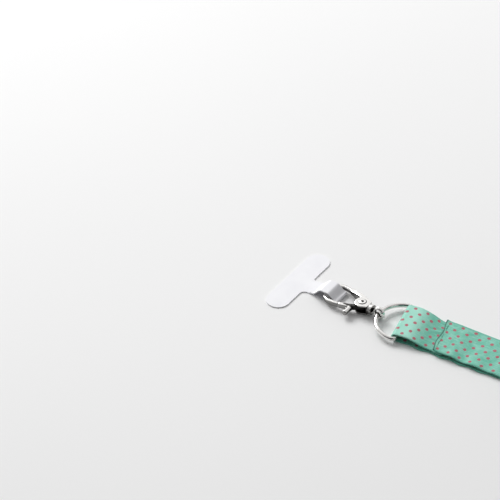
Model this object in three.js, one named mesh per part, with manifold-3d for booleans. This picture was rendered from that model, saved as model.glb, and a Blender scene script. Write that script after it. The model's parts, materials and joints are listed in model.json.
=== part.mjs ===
// Phone lanyard: a T-shaped film card, a trigger clasp with a swivel eye, a D-ring and a neck
// strap, lying flat. Millimetres, +Z up. The origin is the middle of the card's bar on the
// surface that everything lies on, and +X runs along the card's stem towards the strap.
import * as THREE from 'three';
import { mergeVertices } from 'three/addons/utils/BufferGeometryUtils.js';
import Module from 'manifold-3d';

const wasm = await Module();
wasm.setup();

const degree = Math.PI / 180;

// Clearances
const seatGap = 0.1;
const runningGap = 0.3;
const reach = 60; // of the tools that cut, longer than any piece

// Tether card
const film = 0.6;
const barLength = 48.5;
const barWidth = 12.3;
const stemWidth = 9.8;
const nearFillet = 3;
const farFillet = 1.2;
const stemLength = 5.85;
const tailLength = 2.4;
const tailCorner = 1.5;
const rampLength = 5.4;
const loopPlay = 1.1;
const creaseHeight = 2.2;
const creaseGap = 0.6;
const flattening = 1.2; // length over which the loop sinks to its crease, to the loop's height

// Clasp, seen from above with its rivet at the middle and its eye towards +X
const claspYaw = -3 * degree;
const hookSection = 2.3;
const hookHeight = 2.6;
const hookRound = 0.75;
const hookSidePlay = 0.8;
const bowCentre = 15.3;
const armRoot = 3.1;
const armLine = [[0.5, 0], [4.5, 0.32], [8.5, 0.66], [12, 0.9]]; // place, share of the way out
const tipLine = [[2.5, 0.15], [5.5, 0.75]]; // past the bow's centre, in from its radius
const cheekHeight = 5.2;
const cheekRadius = 4;
const cheekArc = 66 * degree;
const shoulderPlace = 1.6;
const shoulderHalf = 3.6;
const slotHeight = 3.4;
const slotWall = 1.2;
const slotPast = 6;
const sweepPast = 1.2;
const fairingStart = 3.4;
const fairingLength = 8;
const collarRadius = 2.8;
const collarLength = 2.4;
const collarStart = 4.2;
const collarSink = 0.8;
const flangeLength = 1.2;
const flangeStep = 0.3;
const waistHalf = 2.3;

// Gate, rivet and spring
const gateReach = 12.4;
const gateRound = 0.4;
const gateLine = [[4, 0.58], [8, 0.83]]; // place, share of the hook's radius
const gateHub = 2.2;
const stubRadius = 1.45;
const stubPlace = 4.2;
const stubReach = 10.6;
const stubChamfer = 0.4;
const rivetRadius = 1;
const rivetHead = 1.9;
const rivetProud = 0.25;
const dimpleRadius = 0.7;
const dimpleDepth = 0.3;
const springWire = 0.36;
const springTurns = 2;
const springLeg = 2.2;

// Swivel eye
const eyeRadius = 3.5;
const eyeWidth = 2.2;
const postRadius = 0.95;
const headRadius = 1.35;
const headLength = 1;
const headChamfer = 0.3;
const neckRadius = 1.5;

// D-ring
const ringWire = 2.4;
const ringPlay = 0.4;
const ringCorner = 1.8;
const eyePlay = 0.7;
const ringHeading = 13.8 * degree;
const eyeBearing = 4.9 * degree;

// Neck strap
const strapWidth = 25;
const ribbon = 0.9;
const layerGap = 0.2;
const strapHeading = 3.8 * degree;
const bendLength = 8;
const squareLength = 32;
const seamDistance = 21;
const seamOverlap = 6;
const seamEase = 1;
const seamRise = 4;
const foldFlat = 5;
const bundleStart = 75;
const runLength = 74;
const runs = 5;
const stepLength = 7;
const lineStep = 3;

// Strap tie
const tieThickness = 0.6;
const tieWidth = 10;
const tieCorner = 1.1;

// Values that follow from the sizes above
const hookInner = stemWidth / 2 + hookSidePlay;
const hookRadius = hookInner + hookSection / 2;
const hookOuter = hookInner + hookSection;
const loopLanding = barWidth / 2 + stemLength;
const bowApex = loopLanding + rampLength - film;
const bowHeight = film + runningGap + hookHeight / 2;
const loopInner = hookHeight + runningGap + loopPlay + runningGap;
const loopTop = film + loopInner + film;
const eyeDistance = collarStart + collarLength + runningGap + eyeRadius;
const claspPitch = Math.asin((eyeRadius - bowHeight) / (bowCentre + hookRadius + eyeDistance));
const rivetPlace = new THREE.Vector3(
  bowApex + (bowCentre + hookOuter) * Math.cos(claspYaw),
  bowCentre * Math.sin(claspYaw),
  eyeRadius - eyeDistance * Math.sin(claspPitch),
);
const creaseX = rivetPlace.x - gateReach - creaseGap;
const ringRadius = strapWidth / 2 + ringPlay + ringWire / 2;
const eyeHole = ringWire / 2 + eyePlay;
const wireDrop = eyePlay - runningGap;
const foldRadius = ringWire / 2 + runningGap + ribbon / 2;
const barHeight = foldRadius + ribbon / 2;
const eyePlace = new THREE.Vector3(
  rivetPlace.x + eyeDistance * Math.cos(claspYaw) * Math.cos(claspPitch),
  rivetPlace.y + eyeDistance * Math.sin(claspYaw) * Math.cos(claspPitch),
  eyeRadius,
);
const wireHeight = eyePlace.z - wireDrop;
const ringPitch = Math.asin((wireHeight - barHeight) / ringRadius);
const ringPlace = new THREE.Vector3(
  eyePlace.x + ringRadius * Math.cos(ringPitch) * Math.cos(eyeBearing),
  eyePlace.y + ringRadius * Math.cos(ringPitch) * Math.sin(eyeBearing),
  barHeight,
);
const coilRadius = rivetRadius + runningGap + springWire / 2;
const layerPitch = ribbon + layerGap;
const legHalf = layerPitch / 2;
const runPitch = 2 * layerPitch;
const tieLift = tieThickness + runningGap;
const bundleTop = tieLift + runs * runPitch - layerGap;

// Materials
function finish(color, roughness, metalness) {
  return new THREE.MeshStandardMaterial({ color, roughness, metalness });
}
const whiteFilm = () => finish(0xf4f4f8, 0.35, 0);
const nickel = () => finish(0xd8d8d8, 0.15, 1);
const springSteel = () => finish(0xb8b8bc, 0.3, 1);
const greenRibbon = () => finish(0x6ecdaa, 0.8, 0);
const tieBand = () => finish(0x5fb795, 0.9, 0);

// Solids and meshes
function solid(geometry) {
  const bare = geometry.clone();
  bare.deleteAttribute('normal');
  bare.deleteAttribute('uv');
  const merged = mergeVertices(bare, 1e-4);
  return new wasm.Manifold(new wasm.Mesh({
    numProp: 3,
    vertProperties: new Float32Array(merged.attributes.position.array),
    triVerts: new Uint32Array(merged.index.array),
  }));
}

function surface(manifold) {
  const mesh = manifold.getMesh();
  const geometry = new THREE.BufferGeometry();
  geometry.setAttribute('position', new THREE.BufferAttribute(mesh.vertProperties, 3));
  geometry.setIndex(new THREE.BufferAttribute(mesh.triVerts, 1));
  geometry.computeVertexNormals();
  return geometry;
}

function piece(name, manifold, material) {
  const mesh = new THREE.Mesh(surface(manifold), material);
  mesh.name = name;
  return mesh;
}

// A plan shape made a plate that lies across Z, centred on the given height
function plate(shape, height, centre = 0, curveSegments = 24) {
  const geometry = new THREE.ExtrudeGeometry(shape, { depth: height, bevelEnabled: false, curveSegments });
  geometry.translate(0, 0, centre - height / 2);
  return solid(geometry);
}

// A plate with its rims rounded, as cast or drawn metal has them
function roundedPlate(shape, height, radius) {
  const geometry = new THREE.ExtrudeGeometry(shape, {
    depth: height - 2 * radius,
    bevelEnabled: true,
    bevelThickness: radius,
    bevelSize: radius,
    bevelOffset: -radius,
    bevelSegments: 3,
  });
  geometry.translate(0, 0, radius - height / 2);
  return solid(geometry);
}

// A side shape, drawn in X and Z, made a wall that runs along Y and is centred on it
function wall(shape, width, curveSegments = 24) {
  const geometry = new THREE.ExtrudeGeometry(shape, { depth: width, bevelEnabled: false, curveSegments });
  geometry.rotateX(90 * degree);
  geometry.translate(0, width / 2, 0);
  return solid(geometry);
}

function cylinderZ(radius, bottom, top, sides = 40) {
  const geometry = new THREE.CylinderGeometry(radius, radius, top - bottom, sides);
  geometry.rotateX(90 * degree);
  geometry.translate(0, 0, (top + bottom) / 2);
  return solid(geometry);
}

// A turned solid along X, from pairs of place and radius
function turnedX(profile, sides = 40) {
  const points = profile.map(([place, radius]) => new THREE.Vector2(radius, place));
  const geometry = new THREE.LatheGeometry(points, sides);
  geometry.rotateZ(-90 * degree);
  return solid(geometry);
}

function block(low, high) {
  const size = high.map((value, axis) => value - low[axis]);
  const geometry = new THREE.BoxGeometry(...size);
  geometry.translate(...low.map((value, axis) => value + size[axis] / 2));
  return solid(geometry);
}

function smoothstep(t) {
  const s = Math.min(Math.max(t, 0), 1);
  return s * s * (3 - 2 * s);
}

// The two edges of a band of even thickness along a line of points
function edges(points, thickness) {
  const left = [];
  const right = [];
  points.forEach((point, index) => {
    const before = points[Math.max(index - 1, 0)];
    const after = points[Math.min(index + 1, points.length - 1)];
    const along = after.clone().sub(before).normalize();
    const across = new THREE.Vector2(-along.y, along.x).multiplyScalar(thickness / 2);
    left.push(point.clone().add(across));
    right.push(point.clone().sub(across));
  });
  return { left, right };
}

function band(points, thickness) {
  const { left, right } = edges(points, thickness);
  return new THREE.Shape([...left, ...right.reverse()]);
}

function arc(centreX, centreY, radius, from, to, step = 15 * degree) {
  const count = Math.max(2, Math.ceil(Math.abs(to - from) / step));
  const points = [];
  for (let i = 0; i <= count; i += 1) {
    const angle = from + (to - from) * i / count;
    points.push(new THREE.Vector2(centreX + radius * Math.cos(angle), centreY + radius * Math.sin(angle)));
  }
  return points;
}

// A smooth step between two heights, from one place to another
function slope(fromX, fromY, toX, toY, count = 8) {
  const points = [];
  for (let i = 0; i <= count; i += 1) {
    const t = i / count;
    points.push(new THREE.Vector2(fromX + (toX - fromX) * t, fromY + (toY - fromY) * smoothstep(t)));
  }
  return points;
}

// Tether card: the film's T, with the stem folded up and over the bow and bonded on itself
function tetherCard() {
  const half = barWidth / 2;
  const end = barLength / 2 - half;
  const stem = stemWidth / 2;
  const outline = new THREE.Shape();
  outline.moveTo(-half, end);
  outline.lineTo(-half, -end);
  outline.absarc(0, -end, half, Math.PI, 2 * Math.PI, false);
  outline.lineTo(half, -stem - nearFillet);
  outline.absarc(half + nearFillet, -stem - nearFillet, nearFillet, Math.PI, Math.PI / 2, true);
  outline.lineTo(creaseX - creaseHeight, -stem);
  outline.lineTo(creaseX - creaseHeight, stem);
  outline.lineTo(half + farFillet, stem);
  outline.absarc(half + farFillet, stem + farFillet, farFillet, 1.5 * Math.PI, Math.PI, true);
  outline.lineTo(half, end);
  outline.absarc(0, end, half, 0, Math.PI, false);
  const flat = plate(outline, film, film / 2);

  const creaseRadius = (creaseHeight - film) / 2;
  const creaseCentre = creaseX - film / 2 - creaseRadius;
  const shoulder = loopLanding + rampLength;
  const top = loopTop - film / 2;
  const back = creaseCentre - flattening * loopInner;
  const path = [
    new THREE.Vector2(loopLanding - tailLength, 1.5 * film),
    ...slope(loopLanding, 1.5 * film, shoulder, top),
    ...slope(back, top, creaseCentre, creaseHeight - film / 2),
    ...arc(creaseCentre, creaseHeight / 2, creaseRadius, Math.PI / 2, -Math.PI / 2).slice(1),
    new THREE.Vector2(creaseCentre - creaseHeight, film / 2),
  ];
  const loop = wall(band(path, film), stemWidth);

  const tail = new THREE.Shape();
  const tailEnd = loopLanding - tailLength;
  tail.moveTo(creaseX + film, stem);
  tail.lineTo(tailEnd + tailCorner, stem);
  tail.absarc(tailEnd + tailCorner, stem - tailCorner, tailCorner, Math.PI / 2, Math.PI, false);
  tail.lineTo(tailEnd, -stem + tailCorner);
  tail.absarc(tailEnd + tailCorner, -stem + tailCorner, tailCorner, Math.PI, 1.5 * Math.PI, false);
  tail.lineTo(creaseX + film, -stem);
  return flat.add(loop.intersect(plate(tail, 4 * loopTop, 0)));
}

// The clasp's far arm, bow and tip, as one line seen from above
function hookLine() {
  const spread = hookRadius - armRoot;
  const arm = armLine.map(([place, share]) => new THREE.Vector2(-place, armRoot + share * spread));
  const bow = arc(-bowCentre, 0, hookRadius, Math.PI / 2, 1.5 * Math.PI, 9 * degree);
  return [...arm, ...bow, ...tipPoints()];
}

function tipPoints() {
  return tipLine.map(([past, inward]) => new THREE.Vector2(-bowCentre + past, -hookRadius + inward));
}

// The gate's bar, from its hub to the tip
function gateOutline() {
  const line = [
    new THREE.Vector2(0, -gateHub + hookSection / 2),
    ...gateLine.map(([place, share]) => new THREE.Vector2(-place, -hookRadius * share)),
    tipPoints()[0],
  ];
  return band(new THREE.SplineCurve(line).getPoints(14), hookSection);
}

// Hook body: cheeks, arm and bow cut from one plan outline and one side outline, and a wing of
// each cheek that tapers along the gate
function hookBody() {
  const smooth = new THREE.SplineCurve(hookLine()).getPoints(64);
  const outline = band(smooth, hookSection);
  const rounded = roundedPlate(outline, hookHeight, hookRound);
  const fairing = block([-fairingStart - fairingLength, 0, -reach], [reach, reach, reach]);
  const hook = plate(outline, cheekHeight).intersect(fairing);
  const cheeks = new THREE.Shape();
  cheeks.moveTo(collarStart, -waistHalf);
  cheeks.lineTo(shoulderPlace, -shoulderHalf);
  cheeks.absarc(0, 0, cheekRadius, -cheekArc, cheekArc, true);
  cheeks.lineTo(collarStart, waistHalf);
  let body = hook.add(plate(cheeks, cheekHeight));

  const side = new THREE.Shape();
  const high = cheekHeight / 2;
  const low = hookHeight / 2;
  const rise = slope(-fairingStart - fairingLength, low, -fairingStart, high);
  side.moveTo(-reach, low);
  rise.forEach((point) => side.lineTo(point.x, point.y));
  side.lineTo(reach, high);
  side.lineTo(reach, -high);
  rise.reverse().forEach((point) => side.lineTo(point.x, -point.y));
  side.lineTo(-reach, -low);
  const sideWall = wall(side, reach);
  body = body.intersect(sideWall).add(rounded);

  const slot = block(
    [-reach, -reach, -slotHeight / 2],
    [collarStart, armRoot + hookSection / 2 - slotWall, slotHeight / 2],
  );
  const slotReach = block([-cheekRadius - slotPast, -reach, -reach], [reach, reach, reach]);
  const openSlot = slot.intersect(slotReach);
  const sweep = cylinderZ(gateReach + runningGap, -reach, reach, 96);
  const nearSide = block(
    [-reach, -reach, -reach],
    [-cheekRadius - sweepPast, -hookInner / 2, reach],
  );
  const wings = plate(gateOutline(), cheekHeight).intersect(fairing).intersect(sideWall);
  body = body.subtract(sweep.intersect(nearSide)).add(wings).subtract(openSlot);

  const collar = turnedX([
    [collarStart - collarSink, 0],
    [collarStart - collarSink, collarRadius - flangeStep],
    [collarStart + collarLength - flangeLength, collarRadius - flangeStep],
    [collarStart + collarLength - flangeLength, collarRadius],
    [collarStart + collarLength, collarRadius],
    [collarStart + collarLength, 0],
  ]);
  const headRoom = block(
    [collarStart - headLength - 2 * runningGap, -headRadius - runningGap, -slotHeight / 2],
    [collarStart, headRadius + runningGap, slotHeight / 2],
  );
  const bore = turnedX([
    [0, 0],
    [0, postRadius + runningGap],
    [reach, postRadius + runningGap],
    [reach, 0],
  ]);
  const rivetBore = cylinderZ(rivetRadius + seatGap, -reach, reach);
  return body.add(collar).subtract(headRoom).subtract(bore).subtract(rivetBore);
}

// Gate: hub, bar and thumb stub, with a pocket for the spring in its upper half
function gate() {
  const bar = roundedPlate(gateOutline(), hookHeight, gateRound);
  const trimmed = bar.intersect(cylinderZ(gateReach, -reach, reach, 96));
  const hub = cylinderZ(gateHub, -hookHeight / 2, hookHeight / 2);
  const stub = new THREE.LatheGeometry([
    new THREE.Vector2(0, 0),
    new THREE.Vector2(stubRadius, 0),
    new THREE.Vector2(stubRadius, stubReach - stubChamfer),
    new THREE.Vector2(stubRadius - stubChamfer, stubReach),
    new THREE.Vector2(0, stubReach),
  ], 32);
  stub.rotateZ(Math.PI);
  stub.translate(-stubPlace, 0, 0);
  const stubRoot = -hookRadius * gateLine[0][1];
  const stubStart = block([-reach, -reach, -reach], [reach, stubRoot, reach]);
  const thumb = solid(stub).intersect(stubStart);
  const pocket = cylinderZ(gateHub + runningGap, 0, reach);
  const legRoom = block(
    [-springLeg - runningGap, -coilRadius - springWire / 2 - runningGap, 0],
    [0, 0, reach],
  );
  const bore = cylinderZ(rivetRadius + runningGap, -reach, reach);
  return trimmed.add(hub).add(thumb).subtract(pocket).subtract(legRoom).subtract(bore);
}

// Rivet: a shank and two heads with a dimple each
function gateRivet() {
  const seat = cheekHeight / 2 + seatGap;
  const top = seat + rivetProud;
  const rim = rivetHead - rivetProud;
  const profile = [
    [-top + dimpleDepth, 0],
    [-top, dimpleRadius],
    [-top, rim],
    [-seat, rivetHead],
    [-seat, rivetRadius],
    [seat, rivetRadius],
    [seat, rivetHead],
    [top, rim],
    [top, dimpleRadius],
    [top - dimpleDepth, 0],
  ];
  const points = profile.map(([place, radius]) => new THREE.Vector2(radius, place));
  const geometry = new THREE.LatheGeometry(points, 40);
  geometry.rotateX(90 * degree);
  return solid(geometry);
}

// Spring: turns round the rivet above the hub, with one leg along the bar and one to the wall
function gateSpring() {
  const radius = coilRadius;
  const bottom = runningGap / 2 + springWire / 2;
  const climb = springWire + seatGap / 2;
  const turnPoints = 12;
  const total = springTurns * turnPoints + turnPoints / 4;
  const points = [new THREE.Vector3(-springLeg, -radius, bottom)];
  for (let i = 0; i <= total; i += 1) {
    const angle = -Math.PI / 2 + 2 * Math.PI * i / turnPoints;
    const height = bottom + climb * i / turnPoints;
    points.push(new THREE.Vector3(radius * Math.cos(angle), radius * Math.sin(angle), height));
  }
  const last = points[points.length - 1];
  points.push(new THREE.Vector3(last.x, last.y + springLeg - radius / 2, last.z));
  const path = new THREE.CatmullRomCurve3(points);
  const section = new THREE.Shape().absarc(0, 0, springWire / 2, 0, 2 * Math.PI, false);
  const geometry = new THREE.ExtrudeGeometry(section, {
    steps: 76,
    curveSegments: 4,
    bevelEnabled: false,
    extrudePath: path,
  });
  return solid(geometry);
}

// Swivel eye: a thick ring across the clasp, with a post through the collar and a peened head
function swivelEye() {
  const middle = (eyeRadius + eyeHole) / 2;
  const thick = (eyeRadius - eyeHole) / 2;
  const section = [];
  const sides = 16;
  for (let i = 0; i <= sides; i += 1) {
    const angle = 2 * Math.PI * i / sides;
    section.push(new THREE.Vector2(middle + thick * Math.cos(angle), eyeWidth / 2 * Math.sin(angle)));
  }
  const ring = solid(new THREE.LatheGeometry(section, 48)).translate([eyeDistance, 0, 0]);
  const headStart = collarStart - runningGap - headLength;
  const post = turnedX([
    [headStart, 0],
    [headStart, headRadius - headChamfer],
    [headStart + headChamfer, headRadius],
    [headStart + headLength, headRadius],
    [headStart + headLength, postRadius],
    [collarStart + collarLength + runningGap / 2, postRadius],
    [eyeDistance - middle, neckRadius],
    [eyeDistance - middle, 0],
  ], 28);
  return ring.add(post);
}

// D-ring: a straight bar along Y, two small corners and a wide bow towards -X
class RingPath extends THREE.Curve {
  constructor() {
    super();
    const offset = ringRadius - ringCorner;
    this.inset = Math.sqrt(offset ** 2 - ringCorner ** 2);
    const cornerSweep = Math.PI / 2 + Math.asin(ringCorner / offset);
    const bowSweep = 2 * Math.PI - 2 * cornerSweep;
    this.arcs = [
      { x: -ringCorner, y: this.inset, radius: ringCorner, from: 0, sweep: cornerSweep },
      { x: 0, y: 0, radius: ringRadius, from: cornerSweep, sweep: bowSweep },
      { x: -ringCorner, y: -this.inset, radius: ringCorner, from: -cornerSweep, sweep: cornerSweep },
    ];
    this.total = this.arcs.reduce((sum, part) => sum + part.radius * part.sweep, 2 * this.inset);
  }

  getPoint(t) {
    let left = (t % 1) * this.total;
    if (left <= 2 * this.inset) {
      return new THREE.Vector3(0, -this.inset + left, 0);
    }
    left -= 2 * this.inset;
    let index = 0;
    while (index < 2 && left > this.arcs[index].radius * this.arcs[index].sweep) {
      left -= this.arcs[index].radius * this.arcs[index].sweep;
      index += 1;
    }
    const part = this.arcs[index];
    const angle = part.from + left / part.radius;
    return new THREE.Vector3(
      part.x + part.radius * Math.cos(angle),
      part.y + part.radius * Math.sin(angle),
      0,
    );
  }
}

function dRing() {
  return solid(new THREE.TubeGeometry(new RingPath(), 96, ringWire / 2, 14, true));
}

// Neck strap: the doubled legs' middle line, from the seam through the folded runs
function doubledLine() {
  const points = [];
  const level = ribbon + layerGap / 2;
  const start = bundleStart - stepLength;
  for (let x = seamDistance; x < start; x += lineStep) {
    points.push(new THREE.Vector2(x, level));
  }
  points.push(...slope(start, level, bundleStart, level + tieLift));
  const turn = runPitch / 2;
  const near = bundleStart + turn;
  const far = bundleStart + runLength;
  for (let run = 0; run < runs; run += 1) {
    const height = level + tieLift + run * runPitch;
    const outward = run % 2 === 0;
    const end = outward ? far : near;
    if (run < runs - 1) {
      const from = -Math.PI / 2;
      const to = outward ? Math.PI / 2 : -1.5 * Math.PI;
      points.push(...arc(end, height + turn, turn, from, to, 22.5 * degree));
    } else {
      points.push(new THREE.Vector2(end, height));
    }
  }
  return points;
}

function shifted(points, offset) {
  return points.map((point, index) => {
    const before = points[Math.max(index - 1, 0)];
    const after = points[Math.min(index + 1, points.length - 1)];
    const along = after.clone().sub(before).normalize();
    return new THREE.Vector2(point.x - along.y * offset, point.y + along.x * offset);
  });
}

// The whole ribbon's line: the tucked end, the fold round the bar, the lower leg, the neck end
// and the upper leg, whose cut end lies over the tucked end at the seam
function ribbonLine() {
  const middle = doubledLine();
  const lower = shifted(middle, -legHalf);
  const end = middle[middle.length - 1];
  const first = ribbon / 2;
  const second = first + layerPitch;
  const third = second + layerPitch;
  const tuckedEnd = seamDistance + seamOverlap;
  const riseEnd = tuckedEnd + seamRise;
  const upper = shifted(middle, legHalf).filter((point) => point.x > riseEnd + lineStep / 2);
  const line = [
    new THREE.Vector2(tuckedEnd, second),
    ...slope(seamDistance - seamEase, second, foldFlat, barHeight + foldRadius, 8),
    ...arc(0, barHeight, foldRadius, Math.PI / 2, 1.5 * Math.PI),
  ];
  for (let x = lineStep; x < seamDistance; x += lineStep) {
    line.push(new THREE.Vector2(x, first));
  }
  line.push(...lower);
  line.push(...arc(end.x, end.y, legHalf, -Math.PI / 2, Math.PI / 2, 30 * degree).slice(1, -1));
  line.push(...upper.reverse());
  line.push(...slope(riseEnd, second, tuckedEnd + runningGap, third, 5));
  line.push(new THREE.Vector2(seamDistance, third));
  return line;
}

// The strap leaves the ring's bar at an angle. Its cross threads stay parallel to the bar as far
// as the seam, and past it they turn back square to the strap.
function bentPlace(along, across) {
  const turn = ringHeading - strapHeading;
  const radius = bendLength / turn;
  const angle = Math.min(Math.max(along, 0), bendLength) / radius;
  const rest = Math.min(along, 0) + Math.max(along - bendLength, 0);
  const lean = turn * smoothstep((along - seamDistance) / squareLength);
  const centreX = radius * Math.sin(angle) + rest * Math.cos(angle);
  const centreY = -radius * (1 - Math.cos(angle)) - rest * Math.sin(angle);
  return [centreX + across * Math.sin(lean), centreY + across * Math.cos(lean)];
}

function bend(geometry) {
  const place = geometry.attributes.position;
  for (let i = 0; i < place.count; i += 1) {
    const [x, y] = bentPlace(place.getX(i), place.getY(i));
    place.setXY(i, x, y);
  }
  return geometry;
}

// The ribbon is one closed strip: four corners at each point of its line, and an end at each end
function neckStrap() {
  const { left, right } = edges(ribbonLine(), ribbon);
  const half = strapWidth / 2;
  const corners = [];
  left.forEach((upper, index) => {
    const lower = right[index];
    corners.push([upper.x, -half, upper.y], [upper.x, half, upper.y]);
    corners.push([lower.x, half, lower.y], [lower.x, -half, lower.y]);
  });
  const faces = [0, 1, 2, 0, 2, 3];
  const last = corners.length - 4;
  for (let start = 0; start < last; start += 4) {
    for (let side = 0; side < 4; side += 1) {
      const a = start + side;
      const b = start + (side + 1) % 4;
      faces.push(a, a + 4, b, b, a + 4, b + 4);
    }
  }
  faces.push(last, last + 2, last + 1, last, last + 3, last + 2);
  const geometry = new THREE.BufferGeometry();
  geometry.setAttribute('position', new THREE.Float32BufferAttribute(corners.flat(), 3));
  geometry.setIndex(faces);
  return solid(bend(geometry));
}

// Tie: a soft band round the folded runs
function strapTie() {
  const half = strapWidth / 2 + runningGap + tieThickness;
  const top = bundleTop + tieLift;
  const round = (low, high, side, corner) => {
    const path = new THREE.Shape();
    path.moveTo(-side + corner, low);
    path.lineTo(side - corner, low);
    path.absarc(side - corner, low + corner, corner, -Math.PI / 2, 0, false);
    path.absarc(side - corner, high - corner, corner, 0, Math.PI / 2, false);
    path.absarc(-side + corner, high - corner, corner, Math.PI / 2, Math.PI, false);
    path.absarc(-side + corner, low + corner, corner, Math.PI, 1.5 * Math.PI, false);
    return path;
  };
  const outline = round(0, top, half, tieCorner);
  const inside = half - tieThickness;
  outline.holes.push(round(tieThickness, top - tieThickness, inside, tieCorner - tieThickness));
  const geometry = new THREE.ExtrudeGeometry(outline, {
    depth: tieWidth,
    bevelEnabled: false,
    curveSegments: 6,
  });
  geometry.rotateX(90 * degree);
  geometry.rotateZ(90 * degree);
  geometry.translate(bundleStart + runLength / 2 - tieWidth / 2, 0, 0);
  return solid(bend(geometry));
}

const lanyard = new THREE.Group();
lanyard.add(piece('tether_card', tetherCard(), whiteFilm()));

const clasp = new THREE.Group();
clasp.position.copy(rivetPlace);
clasp.rotation.set(0, -claspPitch, claspYaw, 'ZYX');
clasp.add(piece('hook_body', hookBody(), nickel()));
clasp.add(piece('gate', gate(), nickel()));
clasp.add(piece('gate_rivet', gateRivet(), nickel()));
clasp.add(piece('gate_spring', gateSpring(), springSteel()));
clasp.add(piece('swivel_eye', swivelEye(), nickel()));
lanyard.add(clasp);

const ring = new THREE.Group();
ring.position.copy(ringPlace);
ring.rotation.set(0, ringPitch, ringHeading, 'ZYX');
ring.add(piece('d_ring', dRing(), nickel()));
lanyard.add(ring);

const strap = new THREE.Group();
strap.position.set(ringPlace.x, ringPlace.y, 0);
strap.rotation.z = ringHeading;
strap.add(piece('neck_strap', neckStrap(), greenRibbon()));
strap.add(piece('strap_tie', strapTie(), tieBand()));
lanyard.add(strap);

export default lanyard;
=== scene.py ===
"""Phone lanyard: the looks of the film card, the trigger clasp, the swivel, the D-ring and the
dotted ribbon strap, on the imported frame. Meshes are in metres, +Z up. Sizes, and the lines that
the shapes are drawn from, are in millimetres: MM turns them to metres where a mesh is made."""
import json
import math

import bmesh
import bpy
from mathutils import Matrix, Vector


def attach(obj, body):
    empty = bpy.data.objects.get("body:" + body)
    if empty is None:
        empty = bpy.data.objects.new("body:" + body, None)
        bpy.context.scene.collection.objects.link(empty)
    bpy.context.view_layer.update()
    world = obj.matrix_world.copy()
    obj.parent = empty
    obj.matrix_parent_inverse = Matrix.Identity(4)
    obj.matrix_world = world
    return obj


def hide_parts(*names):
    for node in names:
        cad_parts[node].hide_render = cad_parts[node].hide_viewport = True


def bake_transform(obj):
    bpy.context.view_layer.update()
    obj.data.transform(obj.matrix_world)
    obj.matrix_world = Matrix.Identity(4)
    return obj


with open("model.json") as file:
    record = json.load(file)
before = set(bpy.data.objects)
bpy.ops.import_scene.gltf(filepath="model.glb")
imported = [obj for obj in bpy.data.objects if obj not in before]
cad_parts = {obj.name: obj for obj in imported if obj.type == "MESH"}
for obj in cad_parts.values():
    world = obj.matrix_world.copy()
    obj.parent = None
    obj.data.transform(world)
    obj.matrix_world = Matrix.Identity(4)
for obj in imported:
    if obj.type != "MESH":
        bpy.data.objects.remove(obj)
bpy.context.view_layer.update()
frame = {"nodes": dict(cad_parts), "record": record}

MM = 0.001
DEGREE = math.pi / 180

# Sizes that the pieces share with the solids, in millimetres
FILM = 0.6
BAR_LENGTH, BAR_WIDTH = 48.5, 12.3
STEM_WIDTH, STEM_LENGTH = 9.8, 5.85
NEAR_FILLET, FAR_FILLET, TAIL_CORNER = 3, 1.2, 1.5
TAIL_LENGTH, RAMP_LENGTH = 2.4, 5.4
LOOP_TOP, CREASE_HEIGHT, CREASE_X = 5.5, 2.2, 27.07
FLATTENING = 1.2
EYE_DISTANCE, EYE_RADIUS, EYE_HOLE, EYE_WIDTH = 10.4, 3.5, 1.9, 2.2
RING_WIRE, RING_RADIUS, RING_CORNER = 2.4, 14.1, 1.8
STRAP_WIDTH, RIBBON, LAYER_GAP = 25, 0.9, 0.2
RING_HEADING, STRAP_HEADING = 13.8 * DEGREE, 3.8 * DEGREE
BEND_LENGTH, SQUARE_LENGTH = 8, 32
SEAM, SEAM_OVERLAP, SEAM_RISE, FOLD_FLAT = 21, 6, 4, 5
BUNDLE_START, RUN_LENGTH, RUNS, STEP_LENGTH = 75, 74, 5, 7
TIE_THICKNESS, TIE_WIDTH, TIE_CORNER = 0.6, 10, 1.1
RUNNING_GAP = 0.3
SHANK_RADIUS = 1
BAR_HEIGHT, FOLD_RADIUS = 2.4, 1.95
LAYER_PITCH = RIBBON + LAYER_GAP
RUN_PITCH = 2 * LAYER_PITCH
TIE_LIFT = TIE_THICKNESS + RUNNING_GAP

# Sizes of the visual pieces alone, in millimetres
VISUAL_FILM, VISUAL_RIBBON = 0.5, 0.72
FILM_EDGE, RIBBON_EDGE, TIE_EDGE = 0.09, 0.2, 0.18
BODY_VOXEL, GATE_VOXEL, EYE_VOXEL = 0.13, 0.12, 0.09
SPRING_RADIUS, SPRING_START, SPRING_PITCH, SPRING_LEG = 0.18, 0.33, 0.41, 2.2
THREAD_RADIUS, STITCH_ROW, STITCH_PITCH = 0.17, 1.5, 1.9
STITCH_REACH, STITCH_RISE = 11.4, 0.09
DOT_PITCH, DOT_RADIUS = 6.95, 0.98

# Counts of points and faces
COLUMNS, TIE_COLUMNS = 30, 12
SPRING_TURN_STEPS = 24

# The ribbon's laid form, in millimetres: the gathers at the seam, the loose legs and the cut end
GATHER_START, RIDGE_HEIGHT, PLEAT_HEIGHT, CROWN_HEIGHT = 12, 0.5, 0.45, 0.2
FAR_DRAW, NEAR_DRAW = 0.9, 0.35
LEG_LIFT, LEG_WAVE, STEP_LIFT, LEGS_MEET = 0.5, 0.4, 0.5, 54
LIP_HEIGHT, END_WAVE, EDGE_WAVE = 0.2, 0.5, 0.45

# The stitches' lean to each side in radians, and the camera's and the floor's places in metres
STITCH_LEAN = 0.75
CAMERA_DISTANCE, CAMERA_LENS_MM = 8, 1128
FLOOR_SIZE, FLOOR_DROP = 6, 0.00002

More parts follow.
